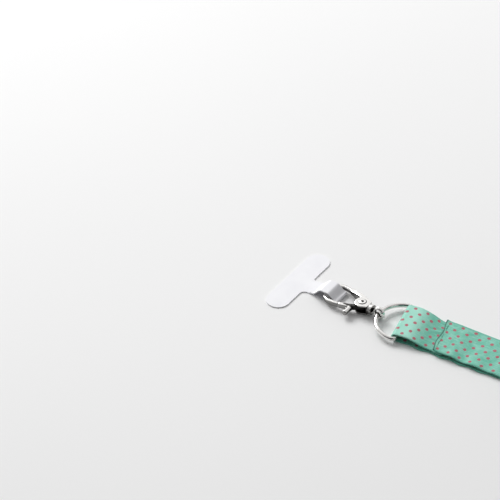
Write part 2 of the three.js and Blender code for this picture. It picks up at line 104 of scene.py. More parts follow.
# Colours, linear
MINT = (0.165, 0.60, 0.44)
MINT_PALE = (0.34, 0.73, 0.60)
MINT_DEEP = (0.035, 0.29, 0.205)
# A painted highlight, for the fold round the ring
MINT_PAINTED_HIGHLIGHT = (0.50, 0.86, 0.74)
# A painted shadow, for the crease at the cut end
CUT_END_PAINTED_SHADOW = (0.012, 0.10, 0.07)
DOT_RED = (0.44, 0.06, 0.09)
DOT_PINK = (0.50, 0.10, 0.15)
THREAD_PALE = (0.30, 0.68, 0.50)
THREAD_DARK = (0.08, 0.34, 0.23)
KNIT_PALE = (0.2, 0.5, 0.36)
FILM_PALE = (0.86, 0.86, 0.885)
FILM_DULL = (0.82, 0.82, 0.85)
NICKEL = (0.86, 0.85, 0.83)
WIRE = (0.84, 0.83, 0.81)
STEEL = (0.60, 0.60, 0.62)
# Painted reflection for upright metal faces
METAL_SIDE_PAINTED_REFLECTION = (0.06, 0.058, 0.055)
# Painted shade for the clasp's recesses
METAL_PAINTED_SHADE = (0.035, 0.034, 0.032)
FLOOR_DULL = (0.84, 0.84, 0.84)
FLOOR_PALE = (0.88, 0.88, 0.878)

# The axes of the clasp, the ring and the strap, from the frame's joints
joints = {joint["name"]: joint for joint in frame["record"]["behaviour"]["joints"]}


def axes(origin, along, up):
    """The matrix of a piece with its X along one direction and its Z near another."""
    x = Vector(along).normalized()
    y = Vector(up).cross(x).normalized()
    z = x.cross(y)
    matrix = Matrix((x, y, z)).transposed().to_4x4()
    matrix.translation = Vector(origin)
    return matrix


hinge = joints["gate_hinge"]
CLASP = axes(hinge["pos_m"], joints["swivel_spin"]["axis"], [-value for value in hinge["axis"]])
pivot = joints["ring_pivot"]
ring_bar = Vector(pivot["axis"])
ring_rise = joints["eye_pivot"]["pos_m"][2] - pivot["pos_m"][2]
ring_pitch = math.asin(ring_rise / (RING_RADIUS * MM))
ring_along = ring_bar.cross(Vector((0, 0, 1))) * math.cos(ring_pitch)
ring_along.z = -math.sin(ring_pitch)
RING = axes(pivot["pos_m"], ring_along, ring_along.cross(ring_bar))
STRAP = Matrix.Translation((pivot["pos_m"][0], pivot["pos_m"][1], 0))
STRAP = STRAP @ Matrix.Rotation(RING_HEADING, 4, "Z")


# Modelling steps
def deselect():
    bpy.ops.object.select_all(action="DESELECT")


def only(piece):
    deselect()
    piece.select_set(True)
    bpy.context.view_layer.objects.active = piece
    return piece


def named(name):
    """The primitive just added, named and open for editing with nothing selected."""
    piece = bpy.context.object
    piece.name = name
    piece.data.name = name
    only(piece)
    bpy.ops.object.mode_set(mode="EDIT")
    bpy.ops.mesh.select_all(action="SELECT")
    return piece


def pick(kind, test):
    """Selects the open mesh's vertices, edges or faces by their middle, in millimetres."""
    bpy.ops.mesh.select_mode(type=kind)
    bpy.ops.mesh.select_all(action="DESELECT")
    piece = bpy.context.object
    sheet = bmesh.from_edit_mesh(piece.data)
    place = piece.matrix_world
    if kind == "VERT":
        for vertex in sheet.verts:
            vertex.select = test(place @ vertex.co / MM)
    elif kind == "EDGE":
        for edge in sheet.edges:
            edge.select = test(place @ ((edge.verts[0].co + edge.verts[1].co) / 2) / MM)
    else:
        for face in sheet.faces:
            face.select = test(place @ face.calc_center_median() / MM)
    sheet.select_flush_mode()
    bmesh.update_edit_mesh(piece.data)


def extrude(x=0, y=0, z=0):
    move = {"value": (x * MM, y * MM, z * MM)}
    bpy.ops.mesh.extrude_region_move(TRANSFORM_OT_translate=move)


def close():
    """Merges doubles, turns the faces outwards and leaves edit mode."""
    bpy.ops.mesh.select_all(action="SELECT")
    bpy.ops.mesh.remove_doubles(threshold=1e-6)
    bpy.ops.mesh.normals_make_consistent(inside=False)
    bpy.ops.object.mode_set(mode="OBJECT")
    return bpy.context.object


def modifier(piece, kind, **settings):
    """Adds a modifier and applies it."""
    only(piece)
    added = piece.modifiers.new(kind, kind)
    for key, value in settings.items():
        setattr(added, key, value)
    bpy.ops.object.modifier_apply(modifier=added.name)
    return piece


def place(piece, matrix=None):
    """Moves a piece and leaves its object at the origin, with its place in its mesh."""
    only(piece)
    if matrix is not None:
        piece.matrix_world = matrix @ piece.matrix_world
    bpy.ops.object.transform_apply(location=True, rotation=True, scale=True)
    return piece


def bevelled(piece, width):
    """Rounds a piece's sharp edges."""
    return modifier(
        piece, "BEVEL", width=width * MM, segments=2, limit_method="ANGLE",
        angle_limit=60 * DEGREE,
    )


def smooth(piece):
    """Shades every face smooth."""
    for face in piece.data.polygons:
        face.use_smooth = True
    return piece


def soften(piece, angle):
    """Shades a piece smooth but for edges sharper than an angle in degrees."""
    only(piece)
    bpy.ops.object.shade_smooth_by_angle(angle=angle * DEGREE)
    return piece


def dress(piece, body, slot, material, *nodes):
    """Gives a finished piece its body, its material and the nodes it stands for; its slot is not
    used.
    A piece that bends between two bodies has no body of its own."""
    piece.data.materials.clear()
    piece.data.materials.append(material)
    if body:
        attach(piece, body)
    if nodes:
        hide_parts(*nodes)
    return piece


def turned(name, profile, sides=48):
    """A turned piece along Z, from pairs of place and radius: a disc extruded and scaled."""
    level, radius = profile[0]
    bpy.ops.mesh.primitive_circle_add(
        vertices=sides, radius=radius * MM, fill_type="NGON", location=(0, 0, level * MM)
    )
    piece = named(name)
    for next_level, next_radius in profile[1:]:
        extrude(z=next_level - level)
        scale = next_radius / radius
        bpy.ops.transform.resize(value=(scale, scale, 1))
        level, radius = next_level, next_radius
    return close()


def cast(node, name, voxel, passes):
    """A cast piece: a merged copy of a node, remeshed on the clasp's axes and worn smooth."""
    source = frame["nodes"][node]
    deselect()
    piece = bpy.data.objects.new(name, source.data.copy())
    bpy.context.collection.objects.link(piece)
    piece.matrix_world = source.matrix_world.copy()
    piece.data.name = name
    place(piece, CLASP.inverted())
    bpy.ops.object.mode_set(mode="EDIT")
    close()
    modifier(piece, "REMESH", mode="VOXEL", voxel_size=voxel * MM, adaptivity=0)
    modifier(piece, "SMOOTH", factor=0.5, iterations=passes)
    return place(smooth(piece), CLASP)


# Lines of points, as pairs of millimetres
def smoothstep(t):
    t = min(max(t, 0), 1)
    return t * t * (3 - 2 * t)


def bell(distance, width):
    """1 at no distance, and close to 0 at twice the width."""
    return math.exp(-(distance / width) ** 2)


def arc(x, y, radius, start, end, count):
    turn = (end - start) / count
    return [
        (x + radius * math.cos(start + turn * i), y + radius * math.sin(start + turn * i))
        for i in range(count + 1)
    ]


def slope(x0, y0, x1, y1, count):
    steps = [i / count for i in range(count + 1)]
    return [(x0 + (x1 - x0) * t, y0 + (y1 - y0) * smoothstep(t)) for t in steps]


# Shader maths: one class wraps a socket and adds a node for each operator
class Value:
    def __init__(self, graph, socket):
        self.graph = graph
        self.socket = socket

    def math(self, operation, *others):
        return self.graph.node("ShaderNodeMath", {"operation": operation}, self, *others)

    def __add__(self, other):
        return self.math("ADD", other)

    def __sub__(self, other):
        return self.math("SUBTRACT", other)

    def __mul__(self, other):
        return self.math("MULTIPLY", other)

    def __truediv__(self, other):
        return self.math("DIVIDE", other)

    def __rsub__(self, other):
        return self.graph.node("ShaderNodeMath", {"operation": "SUBTRACT"}, other, self)

    __radd__ = __add__
    __rmul__ = __mul__

    def rise(self, low, high):
        """0 below low, 1 above high and smooth between them."""
        kind = {"interpolation_type": "SMOOTHSTEP"}
        return self.graph.node("ShaderNodeMapRange", kind, self, low, high, 0, 1)


class Graph:
    """A material with one Principled shader, and the way its nodes are added."""

    def __init__(self, name, **constants):
        self.material = bpy.data.materials.new(name)
        self.material.use_nodes = True
        self.tree = self.material.node_tree
        self.shader = self.tree.nodes["Principled BSDF"]
        for key, value in constants.items():
            self.shader.inputs[key.replace("_", " ")].default_value = value

    def node(self, kind, settings, *values, output=0, **named_values):
        """Adds a node: its settings first, then its sockets in order or by name."""
        node = self.tree.nodes.new(kind)
        for key, value in settings.items():
            setattr(node, key, value)
        for index, value in enumerate(values):
            self.feed(node.inputs[index], value)
        for key, value in named_values.items():
            self.feed(node.inputs[key], value)
        return Value(self, node.outputs[output])

    def feed(self, socket, value):
        if isinstance(value, Value):
            self.tree.links.new(value.socket, socket)
        elif value is not None:
            socket.default_value = value

    def coordinates(self, output="Object"):
        return self.node("ShaderNodeTexCoord", {}, output=output)

    def parts(self, vector):
        """The X, Y and Z of a vector."""
        split = self.tree.nodes.new("ShaderNodeSeparateXYZ")
        self.feed(split.inputs[0], vector)
        return [Value(self, output) for output in split.outputs]

    def noise(self, where, scale, detail=3, roughness=0.5):
        return self.node(
            "ShaderNodeTexNoise", {}, Vector=where, Scale=scale, Detail=detail,
            Roughness=roughness,
        )

    def mix(self, factor, first, second):
        """first where the factor is 0, second where it is 1; both are colours."""
        node = self.tree.nodes.new("ShaderNodeMix")
        node.data_type = "RGBA"
        for index, value in ((0, factor), (6, first), (7, second)):
            if isinstance(value, tuple):
                value = (*value, 1)
            self.feed(node.inputs[index], value)
        return Value(self, node.outputs[2])

    def bump(self, height, distance_mm, strength=1):
        self.finish(Normal=self.node(
            "ShaderNodeBump", {}, Strength=strength, Distance=distance_mm * MM, Height=height,
        ))

    def finish(self, **results):
        for key, value in results.items():
            self.feed(self.shader.inputs[key.replace("_", " ")], value)
        return self.material


def clasp_place(graph):
    """The clasp's own X, Y and Z in millimetres, from the object coordinates."""
    turn = CLASP.inverted().to_euler()
    shift = CLASP.inverted().translation
    where = graph.node(
        "ShaderNodeMapping", {}, Vector=graph.coordinates(), Rotation=tuple(turn),
        Location=tuple(shift),
    )
    return [part / MM for part in graph.parts(where)]


def between(value, low, high, soft):
    """1 between low and high, with soft ends."""
    return value.rise(low - soft, low + soft) * (1 - value.rise(high - soft, high + soft))


def slot_shade_mask(x, y, z):
    """Painted shade: the walls of the slot, the groove round the rivet and the collar's step."""
    radius = (x * x + y * y).math("SQRT")
    height = z.math("ABSOLUTE")
    slot = between(height, -1, 1.82, 0.06) * between(x, -9.6, 4.3, 0.1) * (1 - y.rise(3.2, 3.4))
    groove = between(radius, 1.72, 2.25, 0.08) * height.rise(2.2, 2.4)
    step = between(x, 5.1, 5.5, 0.1)
    return slot.math("MAXIMUM", groove).math("MAXIMUM", step)


def gate_shade_mask(x, y, z):
    """Painted shade: the gate's hub and the part of its bar that lies in the slot, without the
    thumb stub.
    """
    return x.rise(-8.6, -8.2) * y.rise(-6.0, -5.4)


def rivet_shade_mask(x, y, z):
    """Painted shade: the punched dimple in each head."""
    return 1 - (x * x + y * y).math("SQRT").rise(0.75, 0.95)


def eye_shade_mask(x, y, z):
    """Painted shade: the hole and the post's neck."""
    out = x - EYE_DISTANCE
    radius = (out * out + z * z).math("SQRT")
    return (1 - radius.rise(1.95, 2.2)).math("MAXIMUM", 1 - x.rise(7.0, 7.4))


def nickel_plate(name, color, roughness, wear, mask=None, sides=0):
    """Polished plate with fine wipe marks and cloudy patches. Where the mask is 1 it is rougher
    and painted dark as shade, and its upright faces are darkened by the share in sides as a
    painted reflection."""
    graph = Graph(name, Metallic=1, IOR=1.6)
    where = graph.coordinates()
    cloud = graph.noise(where, 260, 4).rise(0.35, 0.7)
    wipes = graph.noise(
        graph.node("ShaderNodeMapping", {}, Vector=where, Scale=(0.15, 1, 1)), 5200, 2
    ).rise(0.45, 0.75)
    dark = tuple(value * 0.82 for value in color)
    tone = graph.mix(cloud * wear, color, dark)
    if sides:
        # Painted reflection: upright faces are darkened, standing in for the dim room that they
        # would mirror
        facing = graph.parts(graph.coordinates("Normal"))[2].math("ABSOLUTE")
        tone = graph.mix((1 - facing.rise(0.2, 0.62)) * sides, tone, METAL_SIDE_PAINTED_REFLECTION)
    rough = cloud * 0.06 + wipes * 0.05 + roughness
    if mask:
        # Painted shade in the recesses that the mask picks, which are also rougher there
        recess_painted_shade = mask(*clasp_place(graph))
        tone = graph.mix(recess_painted_shade, tone, METAL_PAINTED_SHADE)
        rough = rough + recess_painted_shade * 0.3
    graph.finish(Base_Color=tone, Roughness=rough)
    graph.bump(wipes, 0.004, 0.35)
    return graph.material


def satin_film():
    """White film: a soft haze, faint flow lines and a slightly orange-peeled face."""
    graph = Graph("satin_film", IOR=1.49, Coat_Weight=0.1, Coat_Roughness=0.25)
    where = graph.coordinates()
    haze = graph.noise(where, 90, 3).rise(0.3, 0.75)
    peel = graph.noise(where, 1500, 2)
    graph.finish(Base_Color=graph.mix(haze, FILM_PALE, FILM_DULL))
    graph.finish(Roughness=haze * 0.12 + 0.42)
    graph.bump(peel, 0.02, 0.25)
    return graph.material


def ribbon_cloth(total):
    """Mint ribbon with woven dots: warp and weft ribs, firmer selvedges and a soft sheen.
    The UV map is in metres, across the ribbon and along it, and total is its length in
    millimetres."""
    graph = Graph("mint_ribbon", Sheen_Weight=0.25, Sheen_Roughness=0.4, IOR=1.5)
    graph.shader.inputs["Specular IOR Level"].default_value = 0.35
    uv = graph.coordinates("UV")
    wobble = graph.noise(uv, 900, 2)
    across, along, _ = graph.parts(uv)
    # Dots on a square grid turned by 45 degrees
    pitch = DOT_PITCH * MM

    def lattice(shift):
        x = (across / pitch + shift + 50).math("FRACT") - 0.5
        y = (along / pitch + shift + 50).math("FRACT") - 0.5
        return (x * x + y * y).math("SQRT") * pitch

    distance = lattice(0.5).math("MINIMUM", lattice(0.0)) + (wobble - 0.5) * 0.0003
    dot = 1 - distance.rise((DOT_RADIUS - 0.18) * MM, (DOT_RADIUS + 0.12) * MM)
    # Weave: ribs across, crossed by finer warp threads
    weft = (along * (2 * math.pi / (0.52 * MM))).math("SINE")
    warp = (across * (2 * math.pi / (0.36 * MM))).math("SINE")
    weave = weft * warp * 0.5 + weft * 0.25 + 0.5
    edge = across.math("ABSOLUTE").rise(11.3 * MM, 11.6 * MM)
    tone = graph.noise(uv, 260, 4, 0.6).rise(0.3, 0.7)
    streak = graph.noise(
        graph.node("ShaderNodeMapping", {}, Vector=uv, Scale=(1, 0.08, 1)), 2400, 2
    ).rise(0.3, 0.7)
    ground = graph.mix(tone, MINT, MINT_PALE)
    ground = graph.mix(streak * 0.35, ground, MINT_DEEP)
    # Painted shade: the ground is deeper where the weave is low, between the threads
    ground = graph.mix((1 - weave) * 0.3, ground, MINT_DEEP)
    ground = graph.mix(edge * 0.35, ground, MINT_DEEP)
    # Painted highlight: paler where the fold round the ring leans towards the light; painted
    # shade: deeper in the gathers beside it, where the sewn end slopes away
    fold_painted_highlight = between(along, 17 * MM, 29 * MM, 5 * MM) * 0.55
    ground = graph.mix(fold_painted_highlight, ground, MINT_PAINTED_HIGHLIGHT)
    # Painted shade, patchy with the random tone
    gathers_painted_shade = between(along, 7 * MM, 13 * MM, 4 * MM) * tone * 0.35
    ground = graph.mix(gathers_painted_shade, ground, MINT_DEEP)
    # Painted shadow: the cut end at the seam is darkened, for the shade in the crease under its
    # raised lip
    cut_end_painted_shadow = along.rise((total - 0.9) * MM, (total - 0.45) * MM)
    red = graph.mix(tone, DOT_RED, DOT_PINK)
    # Painted shade: the dots are a little weaker where the weave is low
    woven = graph.mix(dot * (0.86 + weave * 0.14), ground, red)
    graph.finish(Base_Color=graph.mix(cut_end_painted_shadow * 0.85, woven, CUT_END_PAINTED_SHADOW))
    graph.finish(Roughness=tone * 0.12 + (1 - weave) * 0.14 + 0.5)
    graph.bump(weave + dot * 0.25 + edge * 0.3, 0.05, 0.5)
    return graph.material


def thread_cloth(name, color, dark, pitch_mm):
    """Twisted sewing thread, in the piece's own place."""
    graph = Graph(name, Sheen_Weight=0.2, IOR=1.5)
    where = graph.coordinates()
    ply = graph.node(
        "ShaderNodeTexWave", {"wave_type": "BANDS", "bands_direction": "DIAGONAL"},
        Vector=where, Scale=1 / (pitch_mm * MM * 20), Distortion=1.5, Detail=1,
    ).rise(0.2, 0.8)
    # Painted shade: the twist's grooves are darker, following the bump's bands
    graph.finish(Base_Color=graph.mix(ply, dark, color))
    graph.finish(Roughness=1 - ply * 0.25 - 0.15)
    graph.bump(ply, 0.05, 0.5)
    return graph.material


def knit_cloth():
    """Soft knitted band: V stitches in wales, on the band's own UV map in metres."""
    graph = Graph("knit_band", Sheen_Weight=0.35, Sheen_Roughness=0.5, IOR=1.45)
    uv = graph.coordinates("UV")
    wide, long, _ = graph.parts(uv)
    across = wide / (0.9 * MM)
    along = long / (0.7 * MM)
    lean = ((across + 100).math("FRACT") - 0.5).math("ABSOLUTE")
    stitch = ((along + lean * 1.3) * (2 * math.pi)).math("SINE") * 0.5 + 0.5
    wale = 1 - (lean * 2 - 0.45).math("ABSOLUTE") * 1.6
    height = stitch * wale
    fuzz = graph.noise(uv, 1500, 3)
    # Painted shade: deeper in the hollows between the stitches and paler on their raised parts,
    # following the bump's height; the fuzz is random
    graph.finish(Base_Color=graph.mix(height * 0.6 + fuzz * 0.4, MINT_DEEP, KNIT_PALE))
    graph.finish(Roughness=fuzz * 0.15 + 0.72)
    graph.bump(height + fuzz * 0.3, 0.16, 0.7)
    return graph.material


body_plate = nickel_plate("nickel_plate_body", NICKEL, 0.10, 0.5, slot_shade_mask, 0.8)
gate_plate = nickel_plate("nickel_plate_gate", NICKEL, 0.10, 0.5, gate_shade_mask, 0.7)
rivet_plate = nickel_plate("nickel_plate_rivet", NICKEL, 0.14, 0.5, rivet_shade_mask)
eye_plate = nickel_plate("nickel_plate_eye", NICKEL, 0.10, 0.5, eye_shade_mask)
bright_wire = nickel_plate("nickel_wire", WIRE, 0.08, 0.35)
spring_wire = nickel_plate("spring_wire", STEEL, 0.25, 0.6)
film = satin_film()
thread = thread_cloth("mint_thread", THREAD_PALE, THREAD_DARK, 0.35)
knit = knit_cloth()

# Clasp body and gate
hook_body = cast("hook_body", "clasp_body", BODY_VOXEL, 6)
dress(hook_body, "clasp", "nickel", body_plate, "hook_body")
gate = cast("gate", "clasp_gate", GATE_VOXEL, 5)
dress(gate, "lever", "nickel", gate_plate, "gate")

# Rivet: two dished heads on a shank, with a punched dimple in each
HEAD = [(2.3, 1), (2.7, 1.78), (2.76, 1.88), (2.85, 1.86), (2.93, 1.7), (2.95, 1.3), (2.91, 0.95)]
HEAD += [(2.95, 0.78), (2.9, 0.66), (2.7, 0.42), (2.62, 0.2), (2.6, 0.02)]
rivet = turned("rivet", [(-level, radius) for level, radius in reversed(HEAD)] + HEAD, 56)
soften(place(rivet, CLASP), 30)
dress(rivet, "clasp", "nickel", rivet_plate, "gate_rivet")

# Swivel eye: a ring, a waisted post and a peened head, cast as one
MIDDLE, THICK = (EYE_RADIUS + EYE_HOLE) / 2, (EYE_RADIUS - EYE_HOLE) / 2
deselect()
bpy.ops.mesh.primitive_torus_add(
    major_segments=96, minor_segments=32, major_radius=MIDDLE * MM, minor_radius=THICK * MM,
    location=(0, 0, EYE_DISTANCE * MM),
)
eye = named("eye")
bpy.ops.transform.resize(value=(1, 1, EYE_WIDTH / 2 / THICK))
bpy.ops.transform.rotate(
    value=90 * DEGREE, orient_axis="X", center_override=(0, 0, EYE_DISTANCE * MM)
)
close()
post = turned("post", [
    (2.9, 1.0), (3.0, 1.25), (3.15, 1.35), (3.8, 1.35), (3.9, 0.95), (6.75, 0.95),
    (7.1, 1.15), (7.5, 1.45), (7.9, 1.5),
], 40)
only(eye)
post.select_set(True)
bpy.ops.object.join()
modifier(eye, "REMESH", mode="VOXEL", voxel_size=EYE_VOXEL * MM, adaptivity=0)
modifier(eye, "SMOOTH", factor=0.5, iterations=6)
smooth(eye)
place(eye, CLASP @ Matrix.Rotation(90 * DEGREE, 4, "Y"))
dress(eye, "swivel", "nickel", eye_plate, "swivel_eye")

# Torsion spring: wire wound round the rivet above the gate's hub
coil = SHANK_RADIUS + RUNNING_GAP + SPRING_RADIUS
wound = [(-SPRING_LEG, -coil, SPRING_START)]
for i in range(2 * SPRING_TURN_STEPS + 7):
    angle = -math.pi / 2 + 2 * math.pi * i / SPRING_TURN_STEPS
    height = SPRING_START + SPRING_PITCH * i / SPRING_TURN_STEPS
    wound.append((coil * math.cos(angle), coil * math.sin(angle), height))
wound.append((wound[-1][0], wound[-1][1] + SPRING_LEG - coil / 2, wound[-1][2]))
curve = bpy.data.curves.new("spring", "CURVE")
curve.dimensions = "3D"
curve.bevel_depth = SPRING_RADIUS * MM
curve.bevel_resolution = 4
curve.use_fill_caps = True
line = curve.splines.new("POLY")
line.points.add(len(wound) - 1)
for point, (x, y, z) in zip(line.points, wound):
    point.co = (x * MM, y * MM, z * MM, 1)
spring = bpy.data.objects.new("spring", curve)
bpy.context.collection.objects.link(spring)
only(spring)
bpy.ops.object.convert(target="MESH")
spring = bpy.context.object
soften(place(spring, CLASP), 50)
dress(spring, None, "spring_steel", spring_wire, "gate_spring")
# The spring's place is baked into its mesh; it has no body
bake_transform(spring)

# D-ring: a wire's section spun round the two corners and the bow, and bridged along the bar
offset = RING_RADIUS - RING_CORNER
inset = math.sqrt(offset ** 2 - RING_CORNER ** 2)
corner_turn = math.pi / 2 + math.asin(RING_CORNER / offset)
deselect()
bpy.ops.mesh.primitive_circle_add(
    vertices=36, radius=RING_WIRE / 2 * MM, rotation=(90 * DEGREE, 0, 0),
    location=(0, inset * MM, 0),
)
ring = named("ring")
for centre, turn, steps in (
    ((-RING_CORNER, inset), corner_turn, 18),
    ((0, 0), 2 * math.pi - 2 * corner_turn, 90),
    ((-RING_CORNER, -inset), corner_turn, 18),
):
    bpy.ops.mesh.spin(
        steps=steps, angle=-turn, center=(centre[0] * MM, centre[1] * MM, 0), axis=(0, 0, 1)
    )
pick("EDGE", lambda p: p.x > -1.21 and abs(abs(p.y) - inset) < 0.001)
bpy.ops.mesh.bridge_edge_loops(number_cuts=12)
close()
soften(place(ring, RING), 60)
dress(ring, "ring", "nickel", bright_wire, "d_ring")

# Card: the film's flat T, whose stem is carried over the hook and back, then given its thickness
half_width, half_length, stem = BAR_WIDTH / 2, BAR_LENGTH / 2, STEM_WIDTH / 2
crease_radius = (CREASE_HEIGHT - FILM) / 2
crease_centre = CREASE_X - FILM / 2 - crease_radius
flat_end = crease_centre - CREASE_HEIGHT
landing = half_width + STEM_LENGTH
tail_end = landing - TAIL_LENGTH
top = LOOP_TOP - FILM / 2
over = arc(crease_centre, CREASE_HEIGHT / 2, crease_radius, -math.pi / 2, math.pi / 2, 10)
sink = crease_centre - FLATTENING * (LOOP_TOP - 2 * FILM)
over += slope(crease_centre, CREASE_HEIGHT - FILM / 2, sink, top, 14)[1:]
over += slope(landing + RAMP_LENGTH, top, landing, 1.5 * FILM, 14)
over += [(tail_end, 1.5 * FILM)]
deselect()
bpy.ops.mesh.primitive_plane_add(size=1, location=(0, 0, FILM / 2 * MM))
card = named("card")
bpy.ops.transform.resize(value=(BAR_WIDTH * MM, BAR_LENGTH * MM, 1))
for side in (-stem, stem):
    bpy.ops.mesh.select_all(action="SELECT")
    bpy.ops.mesh.bisect(plane_co=(0, side * MM, 0), plane_no=(0, 1, 0))
pick("EDGE", lambda p: p.x > half_width - 0.01 and abs(p.y) < stem / 2)
extrude(x=flat_end - half_width)
here = (flat_end, FILM / 2)
for there in over:
    extrude(x=there[0] - here[0], z=there[1] - here[1])
    here = there
pick("EDGE", lambda p: abs(p.x) < half_width - 0.01 and abs(abs(p.y) - stem) < 0.01)
bpy.ops.mesh.dissolve_edges()
pick("VERT", lambda p: abs(p.x) > half_width - 0.01 and abs(p.y) > half_length - 0.01)
bpy.ops.mesh.bevel(offset=half_width * 0.999 * MM, segments=20, affect="VERTICES")
for side, radius in ((-1, NEAR_FILLET), (1, FAR_FILLET)):
    pick("VERT", lambda p: abs(p.x - half_width) < 0.01 and abs(p.y - side * stem) < 0.01)
    bpy.ops.mesh.bevel(offset=radius * MM, segments=8, affect="VERTICES")
pick("VERT", lambda p: abs(p.x - tail_end) < 0.01 and p.z > FILM)
bpy.ops.mesh.bevel(offset=TAIL_CORNER * MM, segments=8, affect="VERTICES")
bpy.ops.mesh.select_all(action="SELECT")
bpy.ops.mesh.normals_make_consistent(inside=False)
bpy.ops.object.mode_set(mode="OBJECT")
place(card)
modifier(card, "SOLIDIFY", thickness=VISUAL_FILM * MM, offset=0, use_even_offset=True)
bevelled(card, FILM_EDGE)
soften(card, 40)
modifier(card, "WEIGHTED_NORMAL", keep_sharp=True)
dress(card, "card", "film", film, "tether_card")


# Strap: the ribbon's line, laid as a sheet
def doubled_line():
    level = RIBBON + LAYER_GAP / 2
    start = BUNDLE_START - STEP_LENGTH
    points = [(x / 2, level) for x in range(2 * SEAM, 2 * start)]
    points += slope(start, level, BUNDLE_START, level + TIE_LIFT, 16)
    turn = RUN_PITCH / 2
    near, far = BUNDLE_START + turn, BUNDLE_START + RUN_LENGTH
    x = BUNDLE_START
    for run in range(RUNS):
        height = level + TIE_LIFT + run * RUN_PITCH
        outward = run % 2 == 0
        end = far if outward else near
        count = 48
        points += [(x + (end - x) * (i + 1) / count, height) for i in range(count)]
        if run < RUNS - 1:
            last = math.pi / 2 if outward else -1.5 * math.pi
            points += arc(end, height + turn, turn, -math.pi / 2, last, 12)[1:]
        x = end
    return points


def shifted(points, offset):
    moved = []
    for index, (x, y) in enumerate(points):
        x0, y0 = points[max(index - 1, 0)]
        x1, y1 = points[min(index + 1, len(points) - 1)]
        length = math.hypot(x1 - x0, y1 - y0)
        moved.append((x - (y1 - y0) / length * offset, y + (x1 - x0) / length * offset))
    return moved


def ribbon_line():
    """Tucked end, fold round the ring's bar, lower leg, neck end and upper leg."""
    middle = doubled_line()
    first = RIBBON / 2
    second = first + LAYER_PITCH
    third = second + LAYER_PITCH
    tucked = SEAM + SEAM_OVERLAP
    rise = tucked + SEAM_RISE
    fold = BAR_HEIGHT + FOLD_RADIUS
    upper = [point for point in shifted(middle, LAYER_PITCH / 2) if point[0] > rise]
    line = [(tucked - i / 2, second) for i in range(2 * SEAM_OVERLAP + 2)]
    line += slope(SEAM - 1, second, FOLD_FLAT, fold, 32)
    line += [(FOLD_FLAT * (1 - i / 8), fold) for i in range(1, 8)]
    line += arc(0, BAR_HEIGHT, FOLD_RADIUS, math.pi / 2, 1.5 * math.pi, 24)
    line += [(x / 2, first) for x in range(1, 2 * SEAM)]
    line += shifted(middle, -LAYER_PITCH / 2)
    end_x, end_y = middle[-1]
    line += arc(end_x, end_y, LAYER_PITCH / 2, -math.pi / 2, math.pi / 2, 10)[1:-1]
    line += upper[::-1]
    line += slope(rise, second, tucked + RUNNING_GAP, third, 10)
    line += [(tucked - i / 2, third) for i in range(2 * SEAM_OVERLAP + 1)]
    return line


def bent_place(along, across):
    """The strap leaves the ring's bar at an angle, and its cross threads turn square later."""
    turn = RING_HEADING - STRAP_HEADING
    radius = BEND_LENGTH / turn
    angle = min(max(along, 0), BEND_LENGTH) / radius
    rest = min(along, 0) + max(along - BEND_LENGTH, 0)
    lean = turn * smoothstep((along - SEAM) / SQUARE_LENGTH)
    x = radius * math.sin(angle) + rest * math.cos(angle)
    y = -radius * (1 - math.cos(angle)) - rest * math.sin(angle)
    return x + across * math.sin(lean), y + across * math.cos(lean)


def ribbon_sheet(name, line, lay):
    """A sheet along a line in X and Z, with a UV map in metres; lay moves its points."""
    length = 0
    vertices, faces, uvs = [], [], []
    for index, (x, z) in enumerate(line):
        if index:
            length += math.hypot(x - line[index - 1][0], z - line[index - 1][1])
        for column in range(COLUMNS + 1):
            across = STRAP_WIDTH * (column / COLUMNS - 0.5)
            place_x, place_y, place_z = lay(x, across, z, length)
            bent_x, bent_y = bent_place(place_x, place_y)
            vertices.append((bent_x * MM, bent_y * MM, place_z * MM))
            uvs.append((across * MM, length * MM))
    for row in range(len(line) - 1):
        for column in range(COLUMNS):
            corner = row * (COLUMNS + 1) + column
            faces.append((corner, corner + 1, corner + COLUMNS + 2, corner + COLUMNS + 1))
    mesh = bpy.data.meshes.new(name)
    mesh.from_pydata(vertices, [], faces)
    layer = mesh.uv_layers.new(name="UVMap")
    for loop in mesh.loops:
        layer.data[loop.index].uv = uvs[loop.vertex_index]
    piece = bpy.data.objects.new(name, mesh)
    bpy.context.collection.objects.link(piece)
    return piece


line_mm = ribbon_line()
total = sum(
    math.hypot(b[0] - a[0], b[1] - a[1]) for a, b in zip(line_mm, line_mm[1:])
)
cloth = ribbon_cloth(total)
upper_start = total - (BUNDLE_START - STEP_LENGTH - SEAM) - 3


